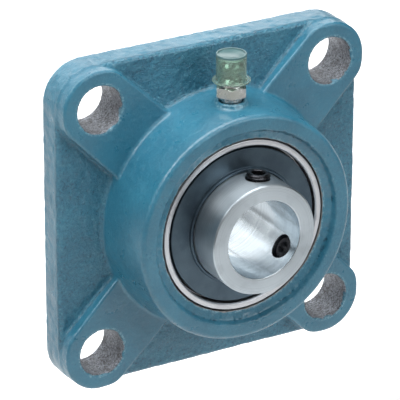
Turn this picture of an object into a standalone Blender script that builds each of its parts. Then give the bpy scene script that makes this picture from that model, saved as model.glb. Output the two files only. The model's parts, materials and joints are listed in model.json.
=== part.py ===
"""Square four-bolt flange unit: a self-aligning ball bearing insert in a cast iron housing.

The shaft runs along Y. The flange's mounting face is the plane y = 0 and the nose points to -Y. Z is up.
Pieces are modelled about their own Z axis and then placed, so a height on a piece of the insert is a
distance forward of the ball row.
"""

import math

import bmesh
import bpy
from mathutils import Matrix, Vector

MM = 0.001

# Housing: driving sizes.
BOLT_SQUARE = 64.0 * MM  # between bolt hole centres, both ways
BOLT_HOLE_R = 6.0 * MM
CORNER_R = 10.0 * MM  # of the flange, about each bolt hole
PAD_STEP = 0.1 * MM  # a pad is this much inside the flange's corner
FLANGE_T = 7.2 * MM  # between the arms
PAD_H = 10.5 * MM  # pads and arms, from the mounting face
ARM_FLARE = 1.0 * MM  # wider at the hub than at the pad, each side
ARM_DRAFT = 0.3 * MM  # wider at the foot than on top, each side
HUB_H = 25.6 * MM
HUB_WALL = 5.2 * MM  # outside the seat, at the nose
HUB_DRAFT = 1.6 * MM  # the hub's radius grows by this down to the flange
HUB_FILLET = 1.6 * MM
EDGE_FILLET = 1.2 * MM
LEDGE_W = 2.4 * MM  # sloping ledge in front of the seat
MOUTH_DEPTH = 1.4 * MM  # of that ledge below the nose
MOUTH_TAPER = 0.55 * MM
GROOVE_DEPTH = 0.8 * MM  # grease groove round the seat
GROOVE_REAR = 1.2 * MM  # its edges behind and ahead of the nipple
GROOVE_FRONT = 3.4 * MM

# Insert: driving sizes.
INSERT_DEPTH = 15.0 * MM  # ball row to mounting face
SHAFT_R = 10.0 * MM
INNER_WALL = 4.1 * MM
INNER_LENGTH = 31.0 * MM
INNER_REAR = 12.7 * MM  # ball row to the inner ring's rear face
INNER_RACE_DEPTH = 1.47 * MM
BALL_R = 3.969 * MM
BALL_COUNT = 8
RACE_CONFORMITY = 1.04  # groove radius over ball radius
OUTER_RACE_DEPTH = 1.65 * MM
OUTER_WALL = 2.63 * MM  # raceway to spherical surface
OUTER_WIDTH = 17.0 * MM
RING_CHAMFER = 0.35 * MM
SEAL_RECESS = 1.2 * MM  # step from the outer ring's shoulder to its mouth
SEAL_CLEAR = 0.73 * MM  # seal to cage
SEAL_T = 0.7 * MM
SEAL_LIP = 0.45 * MM
SLINGER_T = 0.7 * MM
SLINGER_LIFT = 0.2 * MM  # its rim to the seal
SLINGER_CLEAR = 0.6 * MM  # to the outer ring's mouth
SLINGER_COLLAR = 0.9 * MM  # stands forward of the disc
LUBE_HOLE_R = 0.7 * MM
LUBE_HOLE_FORWARD = 4.4 * MM  # of the ball row

# Cage, pin and set screws: driving sizes.
CAGE_T = 0.8 * MM
CAGE_GAP = 0.7 * MM  # to each ring's shoulder
RIVET_R = 0.6 * MM
RIVET_HEAD_R = 1.1 * MM
RIVET_HEAD_H = 0.5 * MM
PIN_R = 1.5 * MM
PIN_IN_RING = 1.2 * MM
PIN_IN_HOUSING = 1.2 * MM
PIN_TRAVEL = 1.2 * MM  # each way along its slot, as the insert aligns
SCREW_R = 2.8 * MM
SCREW_FROM_FACE = 5.4 * MM
SCREW_PROUD = 1.3 * MM  # of the inner ring
SCREW_RECESS = 0.5 * MM  # its point stays this much short of the shaft
SCREW_CHAMFER = 0.5 * MM
SCREW_ANGLES = (85.0, -35.0)  # degrees from +X towards +Z
SOCKET_FLATS = 3.0 * MM
SOCKET_DEPTH = 2.2 * MM

# Grease nipple and its cap: driving sizes. Heights are above the hub.
NIPPLE_DEPTH = 17.2 * MM  # from the mounting face
BOSS_R = 3.9 * MM  # cast round the nipple's hole
BOSS_H = 0.9 * MM
THREAD_R = 2.7 * MM
THREAD_L = 4.8 * MM
NECK_R = 2.4 * MM
HEX_FLATS = 7.0 * MM
HEX_BOTTOM = 2.1 * MM
HEX_H = 2.7 * MM
HEX_CHAMFER = 0.45 * MM
NIPPLE_BODY_R = 3.0 * MM
GRIP_NECK_R = 2.2 * MM
NIPPLE_TOP = 11.5 * MM
PASSAGE_R = 0.7 * MM
CHAMBER_R = 1.35 * MM
CHAMBER_H = 4.9 * MM
CHECK_BALL_R = 1.0 * MM
SPRING_WIRE_R = 0.16 * MM
SPRING_TURNS = 4.5
CAP_WALL = 0.4 * MM
CAP_TOP_T = 0.5 * MM
CAP_RIM = 0.25 * MM  # stands above the cap's top
CAP_LIP = 1.0 * MM
CAP_LIP_T = 0.6 * MM
CAP_LIFT = 1.0 * MM  # its mouth to the hexagon

# Clearances and resolution.
GAP = 0.3 * MM  # between pieces that would touch
RUN_GAP = 0.15 * MM  # ball to raceway, slinger to inner ring
OVERCUT = 1.0 * MM  # cutters run past what they cut
RING_SEGMENTS = 40
SMALL_SEGMENTS = 24
SHARP = math.radians(32)

# Worked out from the driving sizes.
INNER_R = SHAFT_R + INNER_WALL
PITCH_R = INNER_R - INNER_RACE_DEPTH + RUN_GAP + BALL_R
OUTER_RACE_R = PITCH_R + BALL_R + RUN_GAP
OUTER_SHOULDER_R = OUTER_RACE_R - OUTER_RACE_DEPTH
OUTER_MOUTH_R = OUTER_SHOULDER_R + SEAL_RECESS
OUTER_R = OUTER_RACE_R + OUTER_WALL
RACE_R = BALL_R * RACE_CONFORMITY
FACE_H = OUTER_WIDTH / 2
INNER_FRONT = INNER_LENGTH - INNER_REAR
SEAT_R = OUTER_R + GAP
SEAT_EDGE_R = math.sqrt(SEAT_R**2 - FACE_H**2)
HUB_NOSE_R = SEAT_R + HUB_WALL
NIPPLE_SEAT = HUB_NOSE_R + HUB_DRAFT * (HUB_H - NIPPLE_DEPTH) / (HUB_H - FLANGE_T)
SPLIT = GAP / 2  # cage halves, each side of the ball row
CAGE_H = BALL_R + GAP + CAGE_T
SEAL_H = CAGE_H + SEAL_CLEAR
SLINGER_H = SEAL_H + SEAL_T + SLINGER_LIFT + SLINGER_T
RIVET_GRIP = SPLIT + CAGE_T + RUN_GAP  # ball row to a rivet's head
SCREW_H = INNER_FRONT - SCREW_FROM_FACE


# Modelling tools.
def material(name, colour, roughness, metallic):
    made = bpy.data.materials.new(name)
    made.use_nodes = True
    shader = made.node_tree.nodes["Principled BSDF"]
    shader.inputs["Base Color"].default_value = (*colour, 1.0)
    shader.inputs["Roughness"].default_value = roughness
    shader.inputs["Metallic"].default_value = metallic
    return made


def new_object(name, bm, made_of=None, parent=None, matrix=None):
    """An object from bm, its faces turned outwards and its round faces smooth."""
    bmesh.ops.recalc_face_normals(bm, faces=bm.faces)
    mesh = bpy.data.meshes.new(name)
    bm.to_mesh(mesh)
    bm.free()
    mesh.shade_smooth()
    mesh.set_sharp_from_angle(angle=SHARP)
    if made_of:
        mesh.materials.append(made_of)
    obj = bpy.data.objects.new(name, mesh)
    obj.parent = parent
    obj.matrix_basis = matrix or Matrix()
    bpy.context.scene.collection.objects.link(obj)
    return obj


def combine(obj, tool, operation="DIFFERENCE"):
    """Cuts tool from obj, or joins it on, and hides it."""
    modifier = obj.modifiers.new(tool.name, "BOOLEAN")
    modifier.operation = operation
    modifier.object = tool
    tool.hide_render = True
    tool.display_type = "WIRE"


def rings(loops, closed=False):
    """A skin over loops of equal length. Unless it closes on itself, its ends are capped."""
    bm = bmesh.new()
    rows = [[bm.verts.new(point) for point in loop] for loop in loops]
    for low, high in zip(rows, rows[1:] + (rows[:1] if closed else [])):
        for i, corner in enumerate(low):
            bm.faces.new((low[i - 1], corner, high[i], high[i - 1]))
    if not closed:
        bm.faces.new(rows[0])
        bm.faces.new(rows[-1])
    return bm


def turned(profile, segments, closed=True):
    """A body turned about Z from (radius, height) points. A radius may be a function of the angle.

    A closed profile makes a ring. An open one makes a solid with flat ends."""
    loops = []
    for radius, height in profile:
        at = radius if callable(radius) else (lambda angle, fixed=radius: fixed)
        angles = [math.tau * i / segments for i in range(segments)]
        loops.append([(at(a) * math.cos(a), at(a) * math.sin(a), height) for a in angles])
    return rings(loops, closed)


def rod(radius, low, high, segments=SMALL_SEGMENTS):
    return turned([(radius, low), (radius, high)], segments, closed=False)


def arc(radius_at, height_at, radius, start, end, steps):
    """Profile points along an arc. Angles are in radians from the radial direction."""
    angles = [start + (end - start) * i / steps for i in range(steps + 1)]
    return [(radius_at + radius * math.cos(a), height_at + radius * math.sin(a)) for a in angles]


def hexagon(flats, largest=None):
    """Radius of a hexagon with a corner at angle 0, and no larger than the chamfer's radius."""

    def radius(angle):
        full = flats / 2 / math.cos(angle % math.radians(60) - math.radians(30))
        return min(full, largest) if largest else full

    return radius


def radial(angle, height):
    """Places a piece with its Z axis along a radius of the shaft, at this height on it."""
    turn = Matrix.Rotation(math.radians(angle), 4, "Z") @ Matrix.Rotation(math.radians(90), 4, "Y")
    return Matrix.Translation((0, 0, height)) @ turn


def around(radius, index):
    angle = math.tau * index / BALL_COUNT
    return Vector((radius * math.cos(angle), radius * math.sin(angle), 0))


def station(name, depth):
    """An empty on the shaft axis whose Z axis points forward, along -Y."""
    empty = bpy.data.objects.new(name, None)
    empty.matrix_basis = Matrix.Translation((0, -depth, 0)) @ Matrix.Rotation(math.radians(90), 4, "X")
    bpy.context.scene.collection.objects.link(empty)
    return empty


# Housing.
def square_loop(inset, height):
    """The flange's outline: a square with round corners about the bolt holes."""
    loop = []
    for quarter in range(4):
        turn = math.radians(90 * quarter)
        sign_x = 1 if quarter in (0, 3) else -1
        sign_y = 1 if quarter in (0, 1) else -1
        for x, y in arc(0, 0, CORNER_R - inset, turn, turn + math.radians(90), 8):
            loop.append((sign_x * BOLT_SQUARE / 2 + x, sign_y * BOLT_SQUARE / 2 + y, height))
    return loop


def arm_loop(direction, inset, height):
    """Outline of two opposite pads and the arms between them, widest at the hub."""
    reach = BOLT_SQUARE / math.sqrt(2)
    pad_r = CORNER_R - PAD_STEP - inset
    quarter = math.radians(90)
    half = [(reach + x, y) for x, y in arc(0, 0, pad_r, -quarter, quarter, 12)]
    half.append((0, pad_r + ARM_FLARE))
    turn = Matrix.Rotation(math.radians(direction), 4, "Z")
    points = half + [(-x, -y) for x, y in half]
    return [turn @ Vector((x, y, height)) for x, y in points]


def flange_plate():
    soft = EDGE_FILLET
    levels = [(soft / 2, 0), (0, soft / 2), (0, FLANGE_T - soft), (soft * 0.3, FLANGE_T - soft * 0.3)]
    return rings([square_loop(*level) for level in levels + [(soft, FLANGE_T)]])


def arm_pair(direction):
    soft = EDGE_FILLET
    top = ARM_DRAFT
    levels = [(0, OVERCUT), (top, PAD_H - soft), (top + soft * 0.3, PAD_H - soft * 0.3)]
    return rings([arm_loop(direction, *level) for level in levels + [(top + soft, PAD_H)]])


def hub():
    root_r = HUB_NOSE_R + HUB_DRAFT
    fillet = arc(HUB_NOSE_R - HUB_FILLET, HUB_H - HUB_FILLET, HUB_FILLET, 0, math.radians(90), 3)
    profile = [(root_r, OVERCUT), (root_r + EDGE_FILLET, FLANGE_T), (root_r, FLANGE_T + EDGE_FILLET)]
    return turned(profile + fillet, RING_SEGMENTS, closed=False)


def bore():
    """The space for the insert: rear bore, spherical seat with its grease groove, ledge and mouth."""
    edge = math.asin(FACE_H / SEAT_R)
    forward = NIPPLE_DEPTH - INSERT_DEPTH
    groove = [math.asin((forward + at) / SEAT_R) for at in (-GROOVE_REAR, GROOVE_FRONT)]
    below = arc(0, INSERT_DEPTH, SEAT_R, -edge, groove[0], 4)
    above = arc(0, INSERT_DEPTH, SEAT_R, groove[1], edge, 2)
    cut = [(radius + GROOVE_DEPTH, height) for radius, height in (below[-1], above[0])]
    ledge_r = SEAT_EDGE_R + LEDGE_W
    mouth_r = ledge_r + MOUTH_TAPER
    mouth = [(ledge_r, HUB_H - MOUTH_DEPTH), (mouth_r, HUB_H), (mouth_r, HUB_H + OVERCUT)]
    profile = [(SEAT_EDGE_R, -OVERCUT)] + below + cut + above + mouth
    return turned(profile, RING_SEGMENTS, closed=False)


def loading_slots():
    """Lets the insert in sideways from the back: as wide as the outer ring, as deep as the seat."""
    half_width = FACE_H + GAP
    radius = SEAT_R - RUN_GAP
    side = math.asin(half_width / radius)
    right = arc(0, 0, radius, -side, side, 6)
    outline = right + [(-x, -y) for x, y in right]
    heights = (-OVERCUT, INSERT_DEPTH - RUN_GAP)
    return rings([[(x, y, height) for x, y in outline] for height in heights])


def pin_slot():
    """Lets the locking pin travel as the insert aligns. Its own X runs along the shaft."""
    bm = bmesh.new()
    bmesh.ops.create_cube(bm, size=1)
    low = SEAT_R - OVERCUT
    high = OUTER_R + PIN_IN_HOUSING + GAP
    size = (2 * (PIN_R + PIN_TRAVEL), 2 * (PIN_R + GAP), high - low)
    bmesh.ops.scale(bm, vec=size, verts=bm.verts)
    bmesh.ops.translate(bm, vec=(0, 0, (low + high) / 2), verts=bm.verts)
    return bm


def bolt_holes():
    bm = bmesh.new()
    for x in (-1, 1):
        for y in (-1, 1):
            hole = rod(BOLT_HOLE_R, -OVERCUT, PAD_H + OVERCUT)
            bmesh.ops.translate(hole, vec=(x * BOLT_SQUARE / 2, y * BOLT_SQUARE / 2, 0), verts=hole.verts)
            append(bm, hole)
    return bm


def append(bm, part):
    """Adds part's faces to bm as a separate body."""
    copies = {v: bm.verts.new(v.co) for v in part.verts}
    for face in part.faces:
        bm.faces.new([copies[v] for v in face.verts])
    part.free()


def make_housing(flange, insert, paint):
    housing = new_object("housing", flange_plate(), paint, flange)
    for direction in (45, 135):
        arms = new_object(f"arms_{direction}", arm_pair(direction), parent=flange)
        combine(housing, arms, "UNION")
    combine(housing, new_object("hub_body", hub(), parent=flange), "UNION")
    place = radial(90, NIPPLE_DEPTH)
    boss = rod(BOSS_R, SEAT_R + OVERCUT, NIPPLE_SEAT + BOSS_H)
    combine(housing, new_object("nipple_boss", boss, parent=flange, matrix=place), "UNION")
    combine(housing, new_object("bore_cutter", bore(), parent=flange))
    combine(housing, new_object("loading_cutter", loading_slots(), parent=flange))
    combine(housing, new_object("pin_cutter", pin_slot(), parent=insert, matrix=radial(-90, 0)))
    combine(housing, new_object("bolt_cutter", bolt_holes(), parent=flange))
    hole = rod(THREAD_R + GAP, SEAT_R - OVERCUT, NIPPLE_SEAT + BOSS_H + OVERCUT)
    combine(housing, new_object("nipple_cutter", hole, parent=flange, matrix=place))


# Insert.
def outer_ring():
    edge = math.asin(FACE_H / OUTER_R)
    centre = OUTER_RACE_R - RACE_R
    race = math.acos((OUTER_SHOULDER_R - centre) / RACE_R)
    step_h = SEAL_H - GAP
    mouth = [
        (OUTER_MOUTH_R + RING_CHAMFER, FACE_H),
        (OUTER_MOUTH_R, FACE_H - RING_CHAMFER),
        (OUTER_MOUTH_R, step_h),
        (OUTER_SHOULDER_R, step_h),
    ]
    behind = [(radius, -height) for radius, height in reversed(mouth)]
    sphere = arc(0, 0, OUTER_R, -edge, edge, 6)
    return turned(sphere + mouth + arc(centre, 0, RACE_R, race, -race, 6) + behind, RING_SEGMENTS)


def inner_ring():
    centre = INNER_R - INNER_RACE_DEPTH + RACE_R
    race = math.acos((centre - INNER_R) / RACE_R)
    low, high, cham = -INNER_REAR, INNER_FRONT, RING_CHAMFER
    outside = [(INNER_R - cham, low), (INNER_R, low + cham)]
    outside += arc(centre, 0, RACE_R, math.pi + race, math.pi - race, 6)
    outside += [(INNER_R, high - cham), (INNER_R - cham, high)]
    inside = [(SHAFT_R + cham, high), (SHAFT_R, high - cham), (SHAFT_R, low + cham), (SHAFT_R + cham, low)]
    return turned(outside + inside, RING_SEGMENTS)


def mirrored(profile, side):
    """The profile in front of the ball row (side 1), or behind it (side -1)."""
    return [(radius, side * height) for radius, height in profile]


def seal(side):
    """A rubber-covered disc in the outer ring's mouth, with a lip towards the inner ring."""
    low = SEAL_H
    high = low + SEAL_T
    inner = INNER_R + GAP
    outer = OUTER_MOUTH_R - GAP
    lip = [(inner + 4 * SEAL_LIP, high), (inner + 2 * SEAL_LIP, high + SEAL_LIP), (inner, high + SEAL_LIP)]
    return turned(mirrored([(inner, low), (outer, low), (outer, high)] + lip, side), RING_SEGMENTS)


def slinger(side):
    """A pressed disc on the inner ring, with a collar and a turned-back rim."""
    low = SLINGER_H
    high = low + SLINGER_T
    inner = INNER_R + RUN_GAP
    outer = OUTER_MOUTH_R - SLINGER_CLEAR
    rim = [(outer - SLINGER_T, low), (outer - SLINGER_T, low - SLINGER_T), (outer, low - SLINGER_T)]
    collar_r = inner + SLINGER_T
    front = [(outer, high), (collar_r, high), (collar_r, high + SLINGER_COLLAR)]
    back = [(inner, high + SLINGER_COLLAR), (inner, low)]
    return turned(mirrored(rim + front + back, side), RING_SEGMENTS)


def ball(radius, segments):
    bm = bmesh.new()
    bmesh.ops.create_uvsphere(bm, u_segments=segments, v_segments=segments * 2 // 3, radius=radius)
    return bm


def cage_half(side):
    """A pressed ribbon round the ball row: an arched pocket over each ball, flat between them."""
    inside, outside = INNER_R + CAGE_GAP, OUTER_SHOULDER_R - CAGE_GAP
    near_r = BALL_R + GAP
    far_r = near_r + CAGE_T
    flat = (SPLIT, SPLIT + CAGE_T)
    steps = 10
    sections = []
    for step in range(steps + 1):
        section = []
        for radius, level in zip((near_r, far_r), flat):
            start = math.asin(level / radius)
            angle = start + (math.pi - 2 * start) * step / steps
            section.append((-radius * math.cos(angle) / PITCH_R, radius * math.sin(angle)))
        sections.append(section)
    half_pitch = math.pi / BALL_COUNT
    sections.append([(half_pitch, level) for level in flat])
    loops = []
    for index in range(BALL_COUNT):
        for (near_a, near_h), (far_a, far_h) in sections:
            corners = ((inside, near_a, near_h), (outside, near_a, near_h))
            corners += ((outside, far_a, far_h), (inside, far_a, far_h))
            turn = math.tau * index / BALL_COUNT
            loops.append([(r * math.cos(turn + a), r * math.sin(turn + a), side * h) for r, a, h in corners])
    return rings(loops, closed=True)


def rivet_holes():
    bm = bmesh.new()
    for index in range(BALL_COUNT):
        hole = rod(RIVET_R + RUN_GAP, -BALL_R, BALL_R, 8)
        bmesh.ops.translate(hole, vec=around(PITCH_R, index + 0.5), verts=hole.verts)
        append(bm, hole)
    return bm


def rivet():
    grip, head = RIVET_GRIP, RIVET_GRIP + RIVET_HEAD_H
    half = [(RIVET_R, grip), (RIVET_HEAD_R, grip), (RIVET_HEAD_R * 0.7, head)]
    return turned(mirrored(reversed(half), -1) + half, 8, closed=False)


def set_screw():
    """Its own Z runs out along the radius. A hexagon socket on top, a cupped point below."""
    point = SHAFT_R + SCREW_RECESS
    top = INNER_R + SCREW_PROUD
    socket = hexagon(SOCKET_FLATS)
    cup_r = SCREW_R * 0.5
    profile = [
        (cup_r * 0.5, point + SCREW_CHAMFER),
        (cup_r, point),
        (SCREW_R - SCREW_CHAMFER, point),
        (SCREW_R, point + SCREW_CHAMFER),
        (SCREW_R, top - SCREW_CHAMFER),
        (SCREW_R - SCREW_CHAMFER, top),
        (socket, top),
        (socket, top - SOCKET_DEPTH),
    ]
    return turned(profile, SMALL_SEGMENTS, closed=False)


def make_insert(insert, ground, bright, dark, rubber, black):
    ring = new_object("outer_ring", outer_ring(), ground, insert)
    pin_hole = rod(PIN_R + GAP, OUTER_R - PIN_IN_RING - GAP, OUTER_R + OVERCUT, 16)
    combine(ring, new_object("pin_hole", pin_hole, parent=insert, matrix=radial(-90, 0)))
    lube = rod(LUBE_HOLE_R, OUTER_SHOULDER_R - OVERCUT, OUTER_R + OVERCUT, 12)
    combine(ring, new_object("lube_hole", lube, parent=insert, matrix=radial(90, LUBE_HOLE_FORWARD)))
    pin = rod(PIN_R, OUTER_R - PIN_IN_RING, OUTER_R + PIN_IN_HOUSING, 16)
    new_object("locking_pin", pin, ground, insert, radial(-90, 0))

    race = new_object("inner_ring", inner_ring(), bright, insert)
    for index, angle in enumerate(SCREW_ANGLES, 1):
        hole = rod(SCREW_R + GAP, SHAFT_R - OVERCUT, INNER_R + OVERCUT)
        place = radial(angle, SCREW_H)
        combine(race, new_object(f"screw_hole_{index}", hole, parent=insert, matrix=place))
        new_object(f"set_screw_{index}", set_screw(), black, insert, place)

    for end, side in (("front", 1), ("rear", -1)):
        new_object(f"{end}_seal", seal(side), rubber, insert)
        new_object(f"{end}_slinger", slinger(side), dark, insert)
        half = new_object(f"cage_{end}", cage_half(side), bright, insert)
        combine(half, new_object(f"rivet_holes_{end}", rivet_holes(), parent=insert))
    for index in range(BALL_COUNT):
        at = Matrix.Translation(around(PITCH_R, index))
        new_object(f"ball_{index + 1}", ball(BALL_R, 12), bright, insert, at)
        at = Matrix.Translation(around(PITCH_R, index + 0.5))
        new_object(f"cage_rivet_{index + 1}", rivet(), bright, insert, at)


# Grease nipple.
def nipple():
    """Thread, neck, hexagon, body and grip head, with a passage and a valve chamber inside."""
    hex_top = HEX_BOTTOM + HEX_H
    worn = hexagon(HEX_FLATS, HEX_FLATS / 2 + HEX_CHAMFER / 2)
    full = hexagon(HEX_FLATS)
    head = NIPPLE_TOP - NIPPLE_BODY_R
    outside = [
        (THREAD_R - HEX_CHAMFER, -THREAD_L),
        (THREAD_R, -THREAD_L + HEX_CHAMFER),
        (THREAD_R, -HEX_CHAMFER),
        (NECK_R, 0),
        (NECK_R, HEX_BOTTOM),
        (worn, HEX_BOTTOM),
        (full, HEX_BOTTOM + HEX_CHAMFER),
        (full, hex_top - HEX_CHAMFER),
        (worn, hex_top),
        (NIPPLE_BODY_R, hex_top),
        (NIPPLE_BODY_R, hex_top + HEX_BOTTOM / 2),
        (GRIP_NECK_R, hex_top + HEX_BOTTOM),
        (GRIP_NECK_R, head - HEX_CHAMFER),
        (NIPPLE_BODY_R, head + HEX_CHAMFER),
        (NIPPLE_BODY_R, head + NIPPLE_BODY_R / 2),
        (NIPPLE_BODY_R * 0.6, NIPPLE_TOP),
    ]
    inside = [(PASSAGE_R, NIPPLE_TOP), (PASSAGE_R, NIPPLE_TOP - PASSAGE_R / 2)]
    inside += [(CHAMBER_R, chamber_top()), (CHAMBER_R, chamber_top() - CHAMBER_H)]
    inside += [(PASSAGE_R, chamber_top() - CHAMBER_H), (PASSAGE_R, -THREAD_L)]
    return turned(outside + inside, SMALL_SEGMENTS)


def chamber_top():
    """Below the valve's seat, a 45 degree cone down from the mouth of the passage."""
    return NIPPLE_TOP - PASSAGE_R / 2 - (CHAMBER_R - PASSAGE_R)


def check_ball_h():
    """The ball's centre when it rests against the cone, less the running clearance."""
    apex = chamber_top() + CHAMBER_R
    return apex - (CHECK_BALL_R + RUN_GAP) * math.sqrt(2)


def spring(low, high, made_of, matrix):
    """A helix of round wire, with its ends at the given heights."""
    curve = bpy.data.curves.new("nipple_spring", "CURVE")
    curve.dimensions = "3D"
    curve.bevel_depth = SPRING_WIRE_R
    curve.bevel_resolution = 0
    curve.use_fill_caps = True
    curve.materials.append(made_of)
    coil_r = CHAMBER_R - RUN_GAP - SPRING_WIRE_R
    points = int(SPRING_TURNS * 8) + 1
    line = curve.splines.new("POLY")
    line.points.add(points - 1)
    for i, point in enumerate(line.points):
        angle = math.tau * SPRING_TURNS * i / (points - 1)
        height = low + (high - low) * i / (points - 1)
        point.co = (coil_r * math.cos(angle), coil_r * math.sin(angle), height, 1)
    obj = bpy.data.objects.new("nipple_spring", curve)
    obj.matrix_basis = matrix
    bpy.context.scene.collection.objects.link(obj)


def cap():
    """A cup over the nipple, open below, with a lip round its mouth and a rim round its top."""
    inner = NIPPLE_BODY_R + GAP
    outer = inner + CAP_WALL
    bottom = HEX_BOTTOM + HEX_H + CAP_LIFT
    ceiling = NIPPLE_TOP + 2 * GAP
    top = ceiling + CAP_TOP_T
    profile = [
        (inner - CAP_WALL, ceiling),
        (inner, ceiling - CAP_WALL),
        (inner, bottom),
        (outer + CAP_LIP, bottom),
        (outer + CAP_LIP, bottom + CAP_LIP_T),
        (outer, bottom + 2 * CAP_LIP_T),
        (outer, top),
        (outer - CAP_RIM, top + CAP_RIM),
        (inner, top + CAP_RIM),
        (inner - CAP_RIM, top),
    ]
    return turned(profile, SMALL_SEGMENTS, closed=False)


def make_nipple(zinc, plastic, bright):
    place = Matrix.Translation((0, -NIPPLE_DEPTH, NIPPLE_SEAT))
    new_object("grease_nipple", nipple(), zinc, matrix=place)
    ball_at = place @ Matrix.Translation((0, 0, check_ball_h()))
    new_object("nipple_check_ball", ball(CHECK_BALL_R, 12), bright, matrix=ball_at)
    low = chamber_top() - CHAMBER_H + SPRING_WIRE_R + RUN_GAP
    high = check_ball_h() - CHECK_BALL_R - SPRING_WIRE_R
    spring(low, high, bright, place)
    new_object("nipple_cap", cap(), plastic, matrix=place)


def main():
    for obj in list(bpy.data.objects):
        bpy.data.objects.remove(obj)
    paint = material("teal_paint", (0.05, 0.22, 0.34), 0.4, 0.0)
    ground = material("satin_steel", (0.6, 0.58, 0.58), 0.35, 1.0)
    bright = material("bearing_steel", (0.68, 0.7, 0.72), 0.2, 1.0)
    dark = material("dark_slinger_steel", (0.07, 0.1, 0.13), 0.45, 0.6)
    rubber = material("black_rubber", (0.02, 0.02, 0.02), 0.7, 0.0)
    black = material("black_oxide_steel", (0.03, 0.03, 0.035), 0.35, 0.8)
    zinc = material("zinc_plated_steel", (0.7, 0.71, 0.7), 0.25, 1.0)
    plastic = material("green_plastic", (0.22, 0.33, 0.26), 0.4, 0.0)
    flange = station("mounting_face_centre", 0)
    insert = station("ball_row_centre", INSERT_DEPTH)
    make_housing(flange, insert, paint)
    make_insert(insert, ground, bright, dark, rubber, black)
    make_nipple(zinc, plastic, bright)


main()
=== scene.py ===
"""Looks of the square flange ball bearing unit: fine pieces over the CAD frame, finishes, light and camera.

Lengths are in millimetres until a mesh is made. The shaft runs along Y, the mounting face is y = 0, the nose
points to -Y and Z is up. A depth is a distance forward of the mounting face, and a height on a piece of the
insert is a distance forward of the ball row.
"""

import json
import math

import bpy
import numpy as np
from mathutils import Matrix, Vector


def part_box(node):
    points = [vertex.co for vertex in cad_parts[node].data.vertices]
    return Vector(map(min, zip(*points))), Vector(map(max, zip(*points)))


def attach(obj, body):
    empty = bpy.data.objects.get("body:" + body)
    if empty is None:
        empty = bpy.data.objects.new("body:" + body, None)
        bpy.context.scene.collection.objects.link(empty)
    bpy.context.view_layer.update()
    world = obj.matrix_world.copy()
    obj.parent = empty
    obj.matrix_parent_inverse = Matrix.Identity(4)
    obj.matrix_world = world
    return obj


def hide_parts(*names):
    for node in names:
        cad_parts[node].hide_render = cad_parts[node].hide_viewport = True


MM = 0.001
TURN = 2 * math.pi

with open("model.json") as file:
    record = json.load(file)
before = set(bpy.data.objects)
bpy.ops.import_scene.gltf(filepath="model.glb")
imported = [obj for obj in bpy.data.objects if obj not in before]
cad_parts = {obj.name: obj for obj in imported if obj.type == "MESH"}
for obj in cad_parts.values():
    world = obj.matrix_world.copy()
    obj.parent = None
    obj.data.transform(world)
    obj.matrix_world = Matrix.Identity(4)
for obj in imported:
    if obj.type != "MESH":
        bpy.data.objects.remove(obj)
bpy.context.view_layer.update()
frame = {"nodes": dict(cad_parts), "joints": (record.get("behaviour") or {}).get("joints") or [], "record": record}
record = frame["record"]


def span(node):
    """Lowest and highest corner of a CAD node in millimetres."""
    low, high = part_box(node)
    return np.array(low) / MM, np.array(high) / MM


# Sizes read from the frame.
FLANGE_LOW, FLANGE_HIGH = span("housing")
HALF_SIDE = FLANGE_HIGH[0]
HUB_H = -FLANGE_LOW[1]
HOLES = [o for o in record["physics"]["openings"] if o["name"].startswith("bolt_hole")]
BOLT = float(np.mean([abs(o["box_m"][i][0]) for o in HOLES for i in (0, 1)])) / MM
OUTER_LOW, OUTER_HIGH = span("outer_ring")
OUTER_R = OUTER_HIGH[0]
FACE_H = (OUTER_HIGH[1] - OUTER_LOW[1]) / 2
ROW = -(OUTER_HIGH[1] + OUTER_LOW[1]) / 2
INNER_LOW, INNER_HIGH = span("inner_ring")
INNER_R = INNER_HIGH[0]
INNER_FRONT = -INNER_LOW[1] - ROW
INNER_REAR = ROW + INNER_HIGH[1]
SEAL_HIGH = span("front_seal")[1]
SEAL_H = -SEAL_HIGH[1] - ROW
MOUTH_R = SEAL_HIGH[0] + 0.3
SLINGER_LOW, SLINGER_HIGH = span("front_slinger")
SLINGER_R = SLINGER_HIGH[0]
SLINGER_TOP = -SLINGER_LOW[1] - ROW
SCREW_LOW, SCREW_HIGH = span("set_screw_1")
SCREW_H = -(SCREW_LOW[1] + SCREW_HIGH[1]) / 2 - ROW
BALL_LOW, BALL_HIGH = span("ball_1")
BALL_R = (BALL_HIGH[0] - BALL_LOW[0]) / 2
PITCH_R = (BALL_HIGH[0] + BALL_LOW[0]) / 2
NIPPLE_LOW, NIPPLE_HIGH = span("grease_nipple")
NIPPLE_DEPTH = -(NIPPLE_LOW[1] + NIPPLE_HIGH[1]) / 2
CAP_LOW, CAP_HIGH = span("nipple_cap")

# Housing sizes.
CORNER_R = HALF_SIDE - BOLT
HOLE_R = 6.0
PAD_H = 10.5
PAD_R = 9.75
PAD_SPREAD = 0.6  # how much wider a pad is towards its corner of the flange
ARM_FLARE = 1.0  # how much wider an arm is at the hub, each side
DRAFT = 0.03
FLOOR_RIM = 7.1
FLOOR_HUB = 7.9
HUB_NOSE_R = OUTER_R + 5.5
HUB_ROOT_R = HUB_NOSE_R + 1.6
SEAT_R = OUTER_R + 0.3
SEAT_EDGE_R = math.sqrt(SEAT_R**2 - FACE_H**2)
LEDGE_R = SEAT_EDGE_R + 2.4
MOUTH_DEPTH = 1.4
MOUTH_FLARE = 0.55
BOSS_R = 3.9
BOSS_H = 0.9
NIPPLE_HOLE_R = 2.85
GROOVE_DEEP = 0.45
GROOVE_HALF_W = 2.3
GROOVE_AHEAD = 1.1  # of the nipple
PIN_R = 1.8
PIN_SLOT_HALF_W = 2.7
PIN_SLOT_DEEP = 1.5
EDGE_R = {"arm": 0.6, "flange": 1.2, "hub": 1.2, "boss": 0.45, "back": 0.4, "ledge": 0.2, "cut": 0.3}
FILLET_R = {"arm": 0.75, "hub": 0.9, "boss": 0.9}

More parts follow.
